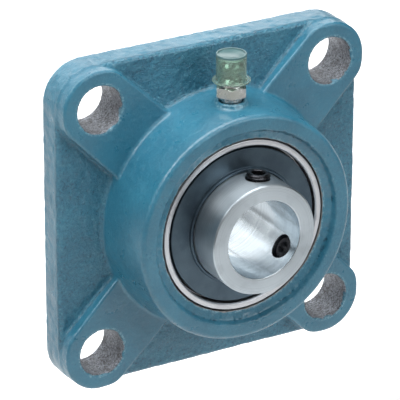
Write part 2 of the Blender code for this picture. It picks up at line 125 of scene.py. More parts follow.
# Housing mesh.
GRID = 0.45
SEAM_R = 0.05  # of the crease where the ledge meets its wall
SWELL = (0.045, 5.0)  # height and length of the waves of each kind of unevenness
GRAIN = (0.02, 1.5)
FLOOR_GRAIN = 3.5  # how much more grain lies between the pads than on them
LEDGE_GRAIN = (0.12, 1.1)
LEDGE_SWELL = (0.09, 3.1)
HOLE_SWELL = (0.05, 2.3)
KEPT_TRIANGLES = 150_000
MARK_REACH = 0.9  # how far in or out of the skin an edge or a hollow is felt for

# Insert and nipple sizes.
SHAFT_R = 10.0
RACE_FIT = 1.04  # radius of a race's groove over the ball's
RACE_GAP = 0.15
THREAD_L = 4.8
HEX_HALF = 3.5
SCREW_R = 3.0
SCREW_PITCH = 0.75
SCREW_THREAD_DEEP = 0.44
SOCKET_HALF = 1.5
SOCKET_DEEP = 2.2
SCREW_TOP = INNER_R + 1.3
SCREW_POINT = SHAFT_R + 0.5
SMOOTH_ANGLE = 30.0


# Mesh tools.
def make_mesh(name, points, faces):
    """A mesh in metres from points in millimetres and faces as rows of corners."""
    mesh = bpy.data.meshes.new(name)
    faces = np.asarray(faces, np.int32)
    count, corners = faces.shape
    mesh.vertices.add(len(points))
    mesh.vertices.foreach_set("co", (np.asarray(points) * MM).astype(np.float32).ravel())
    mesh.loops.add(count * corners)
    mesh.loops.foreach_set("vertex_index", faces.ravel())
    mesh.polygons.add(count)
    mesh.polygons.foreach_set("loop_start", np.arange(0, count * corners, corners, dtype=np.int32))
    mesh.update(calc_edges=True)
    mesh.validate()
    mesh.shade_smooth()
    return mesh


def piece(name, mesh, material, body, slot, *nodes):
    """A visible piece on a CAD body that stands in for these nodes."""
    obj = bpy.data.objects.new(name, mesh)
    bpy.context.scene.collection.objects.link(obj)
    mesh.materials.clear()
    mesh.materials.append(material)
    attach(obj, body)
    if nodes:
        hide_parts(*nodes)
    return obj


def soften(profile, radius, closed=True):
    """Rounds each corner of a profile with a small arc, as tooling and handling leave it."""
    steps = 3
    nearly_straight = math.radians(160)
    points = [np.array(p, float) for p in profile]
    count = len(points)
    made = []
    for i, corner in enumerate(points):
        if not closed and i in (0, count - 1):
            made.append(corner)
            continue
        before, after = points[i - 1] - corner, points[(i + 1) % count] - corner
        long_before, long_after = np.linalg.norm(before), np.linalg.norm(after)
        before, after = before / long_before, after / long_after
        opening = math.acos(max(-1.0, min(1.0, float(before @ after))))
        if opening > nearly_straight:
            made.append(corner)
            continue
        reach = min(radius / math.tan(opening / 2), 0.45 * long_before, 0.45 * long_after)
        start, end = corner + before * reach, corner + after * reach
        for k in range(steps + 1):
            t = k / steps
            made.append((1 - t) ** 2 * start + 2 * t * (1 - t) * corner + t * t * end)
    return made


def turned(profile, segments=160, closed=True):
    """Points and faces of a body turned about Z from (radius, height) pairs.

    A radius may be a function of the angles. An open profile is closed on the axis at both ends."""
    angles = np.arange(segments) * TURN / segments
    rows = []
    for radius, height in profile:
        radii = radius(angles) if callable(radius) else np.full(segments, float(radius))
        heights = np.full(segments, height)
        rows.append(np.stack([radii * np.cos(angles), radii * np.sin(angles), heights], 1))
    points = np.concatenate(rows)
    ring = np.arange(segments)
    following = np.roll(ring, -1)
    faces = []
    count = len(rows)
    for k in range(count if closed else count - 1):
        low, high = k * segments, (k + 1) % count * segments
        faces.append(np.stack([low + ring, low + following, high + following, high + ring], 1))
    faces = np.concatenate(faces)
    if not closed:
        first, last = len(points), len(points) + 1
        ends = [[0, 0, profile[0][1]], [0, 0, profile[-1][1]]]
        points = np.concatenate([points, ends])
        top = (count - 1) * segments
        low_centre, high_centre = np.full(segments, first), np.full(segments, last)
        low_fan = np.stack([following, ring, low_centre, low_centre], 1)
        high_fan = np.stack([top + ring, top + following, high_centre, high_centre], 1)
        faces = np.concatenate([faces, low_fan, high_fan])
    return points, faces


def solid(name, points, faces, matrix, smooth_angle):
    """A mesh from rows of quads, in which a repeated corner makes a triangle, turned to face outwards."""
    mesh = bpy.data.meshes.new(name)
    points = np.asarray(points) @ np.array(matrix.to_3x3()).T + np.array(matrix.translation)
    rows = [[int(v) for v in (face[:3] if face[2] == face[3] else face)] for face in faces]
    mesh.from_pydata((points * MM).tolist(), [], rows)
    mesh.validate()
    mesh.shade_smooth()
    mesh.set_sharp_from_angle(angle=math.radians(smooth_angle))
    if signed_volume(mesh) < 0:
        mesh.flip_normals()
    return mesh


def signed_volume(mesh):
    mesh.calc_loop_triangles()
    points = np.empty(len(mesh.vertices) * 3)
    mesh.vertices.foreach_get("co", points)
    corners = np.empty(len(mesh.loop_triangles) * 3, np.int32)
    mesh.loop_triangles.foreach_get("vertices", corners)
    tris = points.reshape(-1, 3)[corners.reshape(-1, 3)]
    return float(np.einsum("ij,ij->i", tris[:, 0], np.cross(tris[:, 1], tris[:, 2])).sum())


def turned_mesh(name, profile, matrix, segments=160, closed=True, smooth_angle=SMOOTH_ANGLE):
    points, faces = turned(profile, segments, closed)
    return solid(name, points, faces, matrix, smooth_angle)


def rod_mesh(name, radius, low, high, matrix, segments=48):
    return turned_mesh(name, [(radius, low), (radius, high)], matrix, segments, closed=False)


def cut(mesh, *tools):
    """The mesh with tools cut out of it."""
    base = bpy.data.objects.new(mesh.name + "_base", mesh)
    bpy.context.scene.collection.objects.link(base)
    others = []
    for tool in tools:
        other = bpy.data.objects.new(tool.name, tool)
        bpy.context.scene.collection.objects.link(other)
        modifier = base.modifiers.new(tool.name, "BOOLEAN")
        modifier.operation = "DIFFERENCE"
        modifier.object = other
        others.append(other)
    made = evaluated(base)
    for obj in [base] + others:
        bpy.data.objects.remove(obj)
    made.shade_smooth()
    made.set_sharp_from_angle(angle=math.radians(SMOOTH_ANGLE))
    return made


def evaluated(obj):
    bpy.context.view_layer.update()
    graph = bpy.context.evaluated_depsgraph_get()
    return bpy.data.meshes.new_from_object(obj.evaluated_get(graph))


INSERT = Matrix.Translation((0, -ROW, 0)) @ Matrix.Rotation(math.radians(90), 4, "X")
NIPPLE_SEAT = NIPPLE_LOW[2] + THREAD_L
NIPPLE = Matrix.Translation((0, -NIPPLE_DEPTH, NIPPLE_SEAT))


def radial(angle, height):
    """Places a piece with its Z axis along a radius of the shaft."""
    turn = Matrix.Rotation(angle, 4, "Z") @ Matrix.Rotation(math.radians(90), 4, "Y")
    return INSERT @ Matrix.Translation((0, 0, height)) @ turn


# Housing: a distance field, negative inside, in x, z and depth.
CELLS = 32
LATTICE = np.random.default_rng(11).random((CELLS, CELLS, CELLS)).astype(np.float32) * 2 - 1


def waves(x, z, depth, size):
    """Smooth noise between -1 and 1 that repeats after CELLS sizes."""
    base, blend = [], []
    for value in (x, z, depth):
        scaled = value / size + 2 * CELLS
        whole = np.floor(scaled)
        part = scaled - whole
        base.append(whole.astype(np.int32) % CELLS)
        blend.append(part * part * (3 - 2 * part))
    total = 0
    for i in (0, 1):
        for j in (0, 1):
            for k in (0, 1):
                weight = 1
                for side, share in zip((i, j, k), blend):
                    weight = weight * (share if side else 1 - share)
                corner = (base[0] + i) % CELLS, (base[1] + j) % CELLS, (base[2] + k) % CELLS
                total = total + weight * LATTICE[corner]
    return total


def join(a, b, radius):
    """Union of two distances with a fillet of this radius."""
    u, v = np.maximum(radius - a, 0), np.maximum(radius - b, 0)
    return np.maximum(radius, np.minimum(a, b)) - np.sqrt(u * u + v * v)


def common(a, b, radius):
    """What two distances share, with a rounded edge of this radius."""
    u, v = np.maximum(radius + a, 0), np.maximum(radius + b, 0)
    return np.minimum(-radius, np.maximum(a, b)) + np.sqrt(u * u + v * v)


def arm_outline(along, across, depth):
    """Two opposite pads, which run out into the corners, and the arms between them, wider towards the hub."""
    reach = BOLT * math.sqrt(2)
    along, across = np.abs(along), np.abs(across)
    arm = across - PAD_R - ARM_FLARE * (1 - along / reach)
    pad = np.hypot(along - reach, across) - PAD_R - PAD_SPREAD * np.clip((along - reach) / PAD_R, 0, 1)
    return np.where(along > reach, pad, arm) + DRAFT * (depth - PAD_H)


def casting(x, z, depth):
    """The outside of the housing as cast, before machining."""
    radius = np.hypot(x, z)
    side_x, side_z = np.abs(x) - BOLT, np.abs(z) - BOLT
    outline = np.hypot(np.maximum(side_x, 0), np.maximum(side_z, 0))
    outline = outline + np.minimum(np.maximum(side_x, side_z), 0) - CORNER_R
    slope = np.clip((HALF_SIDE + 1 - radius) / (HALF_SIDE + 1 - HUB_ROOT_R), 0, 1)
    floor = FLOOR_RIM + (FLOOR_HUB - FLOOR_RIM) * slope
    rising, falling = (x + z) / math.sqrt(2), (x - z) / math.sqrt(2)
    first = common(arm_outline(rising, falling, depth), depth - PAD_H, EDGE_R["arm"])
    second = common(arm_outline(falling, rising, depth), depth - PAD_H, EDGE_R["arm"])
    face = join(depth - floor, np.minimum(first, second), FILLET_R["arm"])
    body = common(outline, face, EDGE_R["flange"])
    lean = (HUB_ROOT_R - HUB_NOSE_R) / (HUB_H - FLOOR_RIM)
    cone = (radius - HUB_NOSE_R - lean * (HUB_H - depth)) / math.hypot(1, lean)
    body = join(body, common(cone, depth - HUB_H, EDGE_R["hub"]), FILLET_R["hub"])
    post = np.maximum(np.hypot(x, depth - NIPPLE_DEPTH) - BOSS_R, -z)
    body = join(body, common(post, z - NIPPLE_SEAT - BOSS_H, EDGE_R["boss"]), FILLET_R["boss"])
    swell = SWELL[0] * waves(x, z, depth, SWELL[1])
    more = 1 + FLOOR_GRAIN * np.clip((PAD_H - 0.6 - depth) / 1.5, 0, 1)
    return body + swell + more * GRAIN[0] * waves(x, z, depth, GRAIN[1])


def mouth(x, z, depth):
    """The cast ledge and step in front of the seat."""
    radius = np.hypot(x, z)
    grain = LEDGE_GRAIN[0] * waves(x, z, depth, LEDGE_GRAIN[1])
    swell = LEDGE_SWELL[0] * waves(x, z, depth, LEDGE_SWELL[1])
    low = ROW + FACE_H
    step = HUB_H - MOUTH_DEPTH
    rise = (step - low) / (LEDGE_R - SEAT_EDGE_R)
    ledge = (low + rise * (radius - SEAT_EDGE_R) - depth) / math.hypot(1, rise)
    flare = MOUTH_FLARE / MOUTH_DEPTH
    wall = (radius - LEDGE_R - flare * (depth - step)) / math.hypot(1, flare)
    seam = np.hypot(radius - LEDGE_R, depth - step) - SEAM_R
    return np.minimum(common(ledge, wall, EDGE_R["ledge"]), seam) + (grain + swell)


def machining(x, z, depth):
    """Distance to the nearest cut that a tool makes: seat, rear bore, slots, holes."""
    radius = np.hypot(x, z)
    seat = np.hypot(radius, depth - ROW) - SEAT_R
    rear = np.maximum(radius - SEAT_EDGE_R, depth - ROW)
    front = np.maximum(radius - SEAT_EDGE_R, ROW - depth)
    beside = np.abs(depth - NIPPLE_DEPTH - GROOVE_AHEAD) - GROOVE_HALF_W
    groove = np.maximum(radius - SEAT_R - GROOVE_DEEP, beside)
    slot = np.maximum(np.maximum(radius - SEAT_R + 0.15, np.abs(z) - FACE_H - 0.3), depth - ROW + 0.15)
    pin_x, pin_depth = np.abs(x) - PIN_R, np.abs(depth - ROW) - PIN_SLOT_HALF_W
    pin = np.maximum(np.maximum(pin_x, pin_depth), np.maximum(-z - OUTER_R - PIN_SLOT_DEEP, z))
    nipple = np.maximum(np.hypot(x, depth - NIPPLE_DEPTH) - NIPPLE_HOLE_R, -z)
    holes = np.hypot(np.abs(x) - BOLT, np.abs(z) - BOLT) - HOLE_R
    holes = holes + HOLE_SWELL[0] * waves(x, z, depth, HOLE_SWELL[1])
    found = seat
    for other in (rear, front, groove, slot, pin, nipple, holes):
        found = np.minimum(found, other)
    return found


def housing_distance(x, z, depth):
    body = common(casting(x, z, depth), -depth, EDGE_R["back"])
    body = common(body, -mouth(x, z, depth), EDGE_R["cut"])
    return common(body, -machining(x, z, depth), EDGE_R["cut"])


def surface_net(values, start, step):
    """Quads on the zero level of values on a grid: one point in each cell that the level crosses."""
    inside = values < 0
    shape = np.array(values.shape)
    corners = [(i, j, k) for i in (0, 1) for j in (0, 1) for k in (0, 1)]

    def at(array, offset):
        return array[tuple(slice(o, n - 1 + o) for o, n in zip(offset, shape))]

    filled = sum(at(inside, c).astype(np.int8) for c in corners)
    active = (filled > 0) & (filled < 8)
    index = np.full(active.shape, -1, np.int32)
    cells = np.argwhere(active)
    index[active] = np.arange(len(cells))
    total, crossings = np.zeros((len(cells), 3)), np.zeros(len(cells))
    for first in corners:
        for axis in range(3):
            if first[axis]:
                continue
            second = tuple(1 if i == axis else first[i] for i in range(3))
            a = at(values, first)[active].astype(float)
            b = at(values, second)[active].astype(float)
            crossed = (a < 0) != (b < 0)
            share = np.where(crossed, a / np.where(crossed, a - b, 1), 0)
            point = np.array(first, float) + share[:, None] * np.eye(3)[axis]
            total += point * crossed[:, None]
            crossings += crossed
    points = (cells + total / crossings[:, None]) * step + start
    faces = []
    for axis in range(3):
        u, v = (axis + 1) % 3, (axis + 2) % 3
        low = inside[tuple(slice(0, -1) if i == axis else slice(None) for i in range(3))]
        high = inside[tuple(slice(1, None) if i == axis else slice(None) for i in range(3))]
        edges = np.argwhere(low != high)
        edges = edges[(edges[:, u] > 0) & (edges[:, v] > 0)]
        edges = edges[(edges[:, u] < shape[u] - 1) & (edges[:, v] < shape[v] - 1)]
        leaving = low[tuple(edges.T)]
        quad = []
        for du, dv in ((1, 1), (0, 1), (0, 0), (1, 0)):
            cell = edges.copy()
            cell[:, u] -= du
            cell[:, v] -= dv
            quad.append(index[tuple(cell.T)])
        quad = np.stack(quad, 1)
        quad[~leaving] = quad[~leaving][:, ::-1]
        faces.append(quad)
    return points, np.concatenate(faces)


def slope_at(points):
    """Distance, unit gradient and gradient size of the housing's field at x, z, depth points."""
    step = 0.02
    value = housing_distance(*points.T)
    gradient = np.empty_like(points)
    for axis in range(3):
        offset = np.zeros(3)
        offset[axis] = step
        ahead = housing_distance(*(points + offset).T)
        behind = housing_distance(*(points - offset).T)
        gradient[:, axis] = (ahead - behind) / (2 * step)
    size = np.linalg.norm(gradient, axis=1, keepdims=True)
    return value, gradient / np.maximum(size, 1e-9), np.maximum(size[:, 0], 0.3)


def settle(points, rounds=3):
    """Moves points onto the housing's surface."""
    for _ in range(rounds):
        value, normal, size = slope_at(points)
        points = points - normal * np.clip(value / size, -0.2, 0.2)[:, None]
    return points


def read_points(mesh):
    flat = np.empty(len(mesh.vertices) * 3, np.float32)
    mesh.vertices.foreach_get("co", flat)
    return flat.reshape(-1, 3).astype(float)


def add_attribute(mesh, name, values):
    attribute = mesh.attributes.new(name, "FLOAT", "POINT")
    attribute.data.foreach_set("value", np.asarray(values, np.float32))


def housing_mesh():
    """The housing's skin, thinned where it is flat, with its edges and hollows marked for the paint's lighter
    edges, painted highlights and painted shade.
    """
    margin = 1.5 * GRID
    starts = np.array([-HALF_SIDE - margin, -HALF_SIDE - margin, -margin])
    ends = np.array([HALF_SIDE + margin, HALF_SIDE + margin, HUB_H + margin])
    lines = [np.arange(a, b + GRID, GRID) for a, b in zip(starts, ends)]
    x, z, depth = (g.astype(np.float32) for g in np.meshgrid(*lines, indexing="ij"))
    points, faces = surface_net(housing_distance(x, z, depth), starts, GRID)
    points = settle(points)
    raw = make_mesh("housing_raw", points, faces)
    holder = bpy.data.objects.new("housing_raw", raw)
    bpy.context.scene.collection.objects.link(holder)
    thin = holder.modifiers.new("thin", "DECIMATE")
    thin.ratio = min(1.0, KEPT_TRIANGLES / (2 * len(faces)))
    mesh = evaluated(holder)
    bpy.data.objects.remove(holder)
    points = settle(read_points(mesh) / MM, 2)
    _, normal, _ = slope_at(points)
    within = housing_distance(*(points - normal * MARK_REACH).T)
    beyond = housing_distance(*(points + normal * MARK_REACH).T)
    edge = np.clip((within + MARK_REACH) / MARK_REACH, 0, 1)
    hollow = np.clip((MARK_REACH - beyond) / MARK_REACH, 0, 1)
    x, z, depth = points.T
    place = np.stack([x, -depth, z], 1)
    mesh.vertices.foreach_set("co", (place * MM).astype(np.float32).ravel())
    add_attribute(mesh, "edge", edge)
    add_attribute(mesh, "hollow", hollow)
    facing_front = np.clip(2 * normal[:, 2], 0, 1)
    add_attribute(mesh, "floor", np.clip((PAD_H - 1.0 - depth) / 1.5, 0, 1) * facing_front)
    if signed_volume(mesh) < 0:
        mesh.flip_normals()
    mesh.shade_smooth()
    facing = np.stack([normal[:, 0], -normal[:, 2], normal[:, 1]], 1)
    mesh.normals_split_custom_set_from_vertices(facing.tolist())
    return mesh


# Node tools for finishes.
class Finish:
    """A material built node by node. Object coordinates are in metres and become millimetres."""

    def __init__(self, name):
        self.material = bpy.data.materials.new(name)
        self.material.use_nodes = True
        self.tree = self.material.node_tree
        self.shader = self.tree.nodes["Principled BSDF"]
        metres = self.node("TexCoord").outputs["Object"]
        self.place = self.node("VectorMath", {0: metres, 1: (1 / MM,) * 3}, operation="MULTIPLY").outputs[0]

    def node(self, kind, inputs=(), **settings):
        made = self.tree.nodes.new("ShaderNode" + kind)
        for key, value in settings.items():
            setattr(made, key, value)
        for key, value in dict(inputs).items():
            self.link(made.inputs[key], value)
        return made

    def link(self, socket, value):
        if isinstance(value, bpy.types.NodeSocket):
            self.tree.links.new(value, socket)
        elif isinstance(value, tuple) and socket.type == "RGBA":
            socket.default_value = (*value, 1.0)
        else:
            socket.default_value = value

    def set(self, **values):
        for key, value in values.items():
            self.link(self.shader.inputs[key.replace("_", " ")], value)

    def math(self, operation, a, b=0.0):
        return self.node("Math", {0: a, 1: b}, operation=operation).outputs[0]

    def times(self, a, b):
        return self.math("MULTIPLY", a, b)

    def hypot(self, a, b):
        return self.math("SQRT", self.math("ADD", self.times(a, a), self.times(b, b)))

    def noise(self, size, vector=None, detail=2.0, roughness=0.5):
        """Noise whose features are about this many millimetres across."""
        inputs = {"Vector": vector or self.place, "Scale": 1 / size}
        inputs.update({"Detail": detail, "Roughness": roughness})
        return self.node("TexNoise", inputs).outputs["Fac"]

    def cells(self, size):
        return self.node("TexVoronoi", {"Vector": self.place, "Scale": 1 / size}).outputs["Distance"]

    def spread(self, value, low, high, start=0.0, end=1.0):
        """value from low..high to start..end, held at the ends."""
        keys = {"Value": value, "From Min": low, "From Max": high, "To Min": start, "To Max": end}
        return self.node("MapRange", keys, interpolation_type="SMOOTHSTEP").outputs[0]

    def mix(self, share, a, b):
        made = self.node("Mix", data_type="RGBA")
        for socket, value in zip((made.inputs[0], made.inputs[6], made.inputs[7]), (share, a, b)):
            self.link(socket, value)
        return made.outputs[2]

    def attribute(self, name):
        return self.node("Attribute", attribute_name=name).outputs["Fac"]

    def bump(self, *layers):
        """Layers of (height, millimetres of relief)."""
        normal = None
        for height, relief in layers:
            inputs = {"Height": height, "Strength": 1.0, "Distance": relief * MM}
            if normal:
                inputs["Normal"] = normal
            normal = self.node("Bump", inputs).outputs[0]
        self.link(self.shader.inputs["Normal"], normal)

    def parts(self, vector=None):
        return self.node("SeparateXYZ", {0: vector or self.place}).outputs

    def rings(self):
        """Coordinates that follow turning marks: distance from the shaft axis, and along it."""
        x, y, z = self.parts()
        return self.node("CombineXYZ", {0: self.hypot(x, z), 1: y, 2: 0.0}).outputs[0]


# Colours of the painted casting. A pair is for the darker and the lighter clouds.
TEAL = (0.022, 0.160, 0.252), (0.031, 0.200, 0.305)
# Light specks: partly cast grain, partly painted glints of light on the bumps.
TEAL_SPECK_AND_GLINT = (0.075, 0.29, 0.39)
TEAL_DARK_SPECK = (0.007, 0.078, 0.14)
# Lighter edges: partly thin paint, partly a painted highlight.
TEAL_THIN_EDGE_AND_HIGHLIGHT = (0.30, 0.54, 0.63)
# Painted shade for the hollows in the mouth, where the step wall lies in shadow.
TEAL_MOUTH_SHADE = (0.008, 0.065, 0.115)
# Painted highlight along the fillets at the feet of the arms and hub.
TEAL_FOOT_HIGHLIGHT = (0.32, 0.56, 0.66)
IRON = (0.11, 0.107, 0.112), (0.52, 0.57, 0.64)
IRON_STAIN = (0.10, 0.095, 0.095)
CUT_IRON = (0.30, 0.295, 0.29), (0.46, 0.455, 0.45)


def paint():
    """Teal machinery enamel over a sand casting, bare where tools cut it."""
    f = Finish("teal_paint")
    x, y, z = f.parts()
    hole_x = f.math("SUBTRACT", f.math("ABSOLUTE", x), BOLT)
    hole_z = f.math("SUBTRACT", f.math("ABSOLUTE", z), BOLT)
    to_hole = f.hypot(hole_x, hole_z)
    ragged = f.noise(3.2, detail=4.0)
    painted_in = f.math("ADD", f.times(ragged, -6.0), 3.2 - PAD_H)
    in_hole = f.spread(to_hole, HOLE_R + 0.14, HOLE_R + 0.3, 1.0, 0.0)
    below = f.spread(f.math("SUBTRACT", y, painted_in), -0.25, 0.25)
    bare = f.times(in_hole, below)
    back = f.spread(y, -0.2, -0.08)
    around = f.hypot(x, z)
    seat = f.spread(around, SEAT_R + 0.6, SEAT_R + 0.7, 1.0, 0.0)
    behind = f.spread(y, -ROW - FACE_H - 0.1, -ROW - FACE_H)
    machined = f.math("MAXIMUM", back, f.times(seat, behind))

    edge, hollow, floor = (f.attribute(n) for n in ("edge", "hollow", "floor"))
    cloud = f.noise(9.0, detail=3.0)
    speckle = f.noise(0.75, detail=4.0, roughness=0.7)
    grit = f.spread(f.cells(0.9), 0.0, 0.32, 1.0, 0.0)
    colour = f.mix(f.spread(cloud, 0.3, 0.7), *TEAL)
    grainy = f.spread(floor, 0.0, 1.0, 0.3, 0.9)
    # Light specks in the pockets, partly grain and partly painted glints; the dark specks are grain.
    colour = f.mix(f.times(f.spread(speckle, 0.5, 0.7), grainy), colour, TEAL_SPECK_AND_GLINT)
    colour = f.mix(f.times(f.spread(speckle, 0.47, 0.3), grainy), colour, TEAL_DARK_SPECK)
    # Edges are painted lighter, partly as thin paint and partly as a painted highlight, broken up by sparkle.
    sparkle = f.spread(f.noise(0.7, detail=4.0, roughness=0.7), 0.42, 0.62)
    thin = f.times(f.spread(edge, 0.12, 0.5), sparkle)
    colour = f.mix(f.times(thin, 0.6), colour, TEAL_THIN_EDGE_AND_HIGHLIGHT)
    # Painted shade: hollows inside the mouth are darkened; outside it, hollows get a painted highlight.
    deep = f.spread(hollow, 0.12, 0.5)
    inside = f.spread(around, LEDGE_R + 1.2, LEDGE_R + 1.8, 1.0, 0.0)
    colour = f.mix(f.times(f.times(deep, inside), 0.5), colour, TEAL_MOUTH_SHADE)
    # Painted highlight on the fillets at the feet, outside the mouth, broken up by sparkle.
    rim = f.times(f.times(deep, f.math("SUBTRACT", 1.0, inside)), sparkle)
    colour = f.mix(f.times(rim, 0.7), colour, TEAL_FOOT_HIGHLIGHT)
    crust = f.spread(f.noise(0.5, detail=5.0, roughness=0.75), 0.34, 0.7)
    iron = f.mix(crust, *IRON)
    iron = f.mix(f.times(f.spread(f.noise(2.4, detail=3.0), 0.5, 0.62), 0.4), iron, IRON_STAIN)
    turned_marks = f.spread(f.noise(0.3, f.rings(), detail=4.0), 0.35, 0.65)
    steel = f.mix(turned_marks, *CUT_IRON)
    metal = f.mix(machined, iron, steel)
    uncoated = f.math("MAXIMUM", bare, machined)
    f.set(Base_Color=f.mix(uncoated, colour, metal))
    gloss = f.spread(f.noise(3.0, detail=4.0), 0.3, 0.7, 0.27, 0.42)
    gloss = f.math("ADD", gloss, f.times(floor, 0.12))
    f.set(Roughness=f.math("ADD", gloss, f.times(machined, 0.12)))
    f.set(Metallic=f.times(uncoated, 0.85))
    f.set(Coat_Weight=f.spread(uncoated, 0.0, 1.0, 0.45, 0.0), Coat_Roughness=0.17, Specular_IOR_Level=0.75)
    peel = f.noise(1.5, detail=2.0)
    grain = f.times(f.noise(0.42, detail=4.0, roughness=0.6), f.spread(floor, 0.0, 1.0, 0.35, 1.0))
    pits = f.times(grit, f.spread(floor, 0.0, 1.0, 0.12, 1.0))
    scratches = f.times(f.noise(0.12, f.rings(), detail=2.0), machined)
    pores = f.times(f.noise(0.3, detail=5.0, roughness=0.7), bare)
    lumps = f.times(f.noise(1.3, detail=2.0), floor)
    f.bump((peel, 0.18), (lumps, 0.45), (grain, 0.38), (pits, 0.12), (pores, 0.22), (scratches, 0.03))
    return f.material


def turned_steel(name, dark, bright, roughness, marks=0.010, along=0.0, outside=0.0):
    """Turned or ground steel: fine rings about the shaft axis, a sheen along them and faint handling marks.

    Past the shaft bore it is rougher by the amount called outside."""
    f = Finish(name)
    rings = f.rings()
    lines = f.noise(0.16, rings, detail=3.0, roughness=0.7)
    bands = f.noise(1.9, rings, detail=2.0)
    cloud = f.noise(4.0, detail=3.0)
    colour = f.mix(f.spread(lines, 0.3, 0.7), dark, bright)
    smear = tuple(0.8 * part for part in dark)
    colour = f.mix(f.times(f.spread(cloud, 0.5, 0.75), 0.4), colour, smear)
    f.set(Base_Color=colour, Metallic=1.0)
    if along:
        tangent = f.node("Tangent", direction_type="RADIAL", axis="Y")
        f.set(Anisotropic=along, Anisotropic_Rotation=0.25, Tangent=tangent.outputs[0])
    rough = f.math("ADD", f.times(bands, 0.08), f.times(cloud, 0.08))
    if outside:
        radius = f.parts(rings)[0]
        rough = f.math("ADD", rough, f.spread(radius, SHAFT_R + 0.2, SHAFT_R + 0.6, 0.0, outside))
    f.set(Roughness=f.math("ADD", rough, roughness))
    specks = f.spread(f.cells(1.1), 0.0, 0.16, 1.0, 0.0)
    f.bump((lines, marks), (specks, marks * 0.5), (f.noise(0.3, detail=3.0), marks))
    return f.material


def slinger_steel():
    """Pressed steel with a dark blue-grey phosphate coat."""
    f = Finish("dark_slinger_steel")
    cloud = f.noise(5.0, detail=4.0)
    fine = f.noise(0.25, detail=4.0, roughness=0.65)
    colour = f.mix(f.spread(cloud, 0.3, 0.7), (0.065, 0.096, 0.126), (0.092, 0.135, 0.170))
    colour = f.mix(f.times(f.spread(fine, 0.55, 0.8), 0.4), colour, (0.20, 0.26, 0.31))
    f.set(Base_Color=colour, Metallic=0.8)
    f.set(Roughness=f.spread(f.noise(2.0, detail=4.0), 0.3, 0.7, 0.28, 0.38))
    f.bump((fine, 0.012), (f.noise(0.5, f.rings(), detail=2.0), 0.01))
    return f.material


def rubber():
    f = Finish("black_rubber")
    dust = f.noise(1.2, detail=5.0, roughness=0.7)
    colour = f.mix(f.spread(dust, 0.45, 0.75), (0.010, 0.010, 0.011), (0.035, 0.034, 0.034))
    f.set(Base_Color=colour, Roughness=f.spread(dust, 0.3, 0.7, 0.45, 0.7))
    f.bump((f.noise(0.2, detail=4.0), 0.02))
    return f.material


def black_oxide():
    f = Finish("black_oxide_steel")
    fine = f.noise(0.3, detail=4.0)
    oil = f.noise(1.6, detail=3.0)
    worn = f.spread(f.noise(0.5, detail=5.0, roughness=0.7), 0.58, 0.74)
    colour = f.mix(f.spread(oil, 0.3, 0.7), (0.016, 0.017, 0.020), (0.040, 0.042, 0.048))
    colour = f.mix(f.times(worn, 0.5), colour, (0.20, 0.20, 0.21))
    f.set(Base_Color=colour, Metallic=0.85, Roughness=f.spread(oil, 0.3, 0.7, 0.22, 0.38))
    f.bump((fine, 0.012))
    return f.material


def zinc():
    f = Finish("zinc_plated_steel")
    cloud = f.noise(1.3, detail=4.0)
    tint = f.noise(3.5, detail=2.0)
    colour = f.mix(f.spread(cloud, 0.3, 0.7), (0.46, 0.48, 0.48), (0.72, 0.74, 0.73))
    colour = f.mix(f.times(f.spread(tint, 0.5, 0.7), 0.5), colour, (0.55, 0.58, 0.50))
    f.set(Base_Color=colour, Metallic=1.0, Roughness=f.spread(cloud, 0.3, 0.7, 0.16, 0.32))
    f.bump((f.noise(0.3, detail=4.0), 0.02))
    return f.material


def plastic():
    """Soft olive-green polyethylene that lets light through, less so in its thick, dusty roof."""
    f = Finish("green_plastic")
    roof = f.spread(f.parts()[2], CAP_HIGH[2] - 0.7, CAP_HIGH[2] - 0.45)
    cloud = f.noise(2.4, detail=3.0)
    fine = f.noise(0.3, detail=3.0)
    colour = f.mix(f.spread(cloud, 0.3, 0.7), (0.55, 0.74, 0.64), (0.62, 0.79, 0.69))
    colour = f.mix(roof, colour, f.mix(cloud, (0.11, 0.22, 0.23), (0.15, 0.27, 0.28)))
    f.set(Base_Color=colour, Roughness=f.spread(cloud, 0.3, 0.7, 0.18, 0.26))
    f.set(Transmission_Weight=f.spread(roof, 0.0, 1.0, 0.86, 0.3), IOR=1.45, Specular_IOR_Level=0.3)
    f.bump((fine, 0.002), (cloud, 0.02))
    return f.material


def floor_finish():
    f = Finish("studio_floor")
    tone = f.noise(60.0, detail=3.0)
    f.set(Base_Color=f.mix(tone, (0.80, 0.80, 0.80), (0.83, 0.83, 0.83)), Roughness=0.9)
    x, y, _ = f.parts()
    glow = f.times(f.spread(x, -30.0, 50.0, 0.35, 1.0), f.spread(y, 120.0, 230.0, 0.05, 0.88))
    f.set(Emission_Color=(1.0, 1.0, 1.0), Emission_Strength=glow)
    f.bump((f.noise(2.0, detail=2.0), 0.01))
    return f.material


# Pieces of the insert.
def outer_ring_mesh():
    edge = math.asin(FACE_H / OUTER_R)
    race_r = BALL_R * RACE_FIT
    race_at = PITCH_R + BALL_R + RACE_GAP - race_r
    shoulder = MOUTH_R - 1.2
    step_h = SEAL_H - 0.3
    turn = math.acos((shoulder - race_at) / race_r)
    sphere = [(OUTER_R * math.cos(a), OUTER_R * math.sin(a)) for a in np.linspace(-edge, edge, 18)]
    front = [(MOUTH_R + 0.35, FACE_H), (MOUTH_R, FACE_H - 0.35), (MOUTH_R, step_h), (shoulder, step_h)]
    race = [(race_at + race_r * math.cos(a), race_r * math.sin(a)) for a in np.linspace(turn, -turn, 15)]
    profile = sphere + front + race + [(r, -h) for r, h in reversed(front)]
    mesh = turned_mesh("outer_ring_turned", soften(profile, 0.16), INSERT, 192)
    pin = rod_mesh("pin_hole", PIN_R, OUTER_R - 1.5, OUTER_R + 1, radial(math.radians(-90), 0))
    lube = rod_mesh("lube_hole", 0.7, shoulder - 1, OUTER_R + 1, radial(math.radians(90), 4.4))
    return cut(mesh, pin, lube)


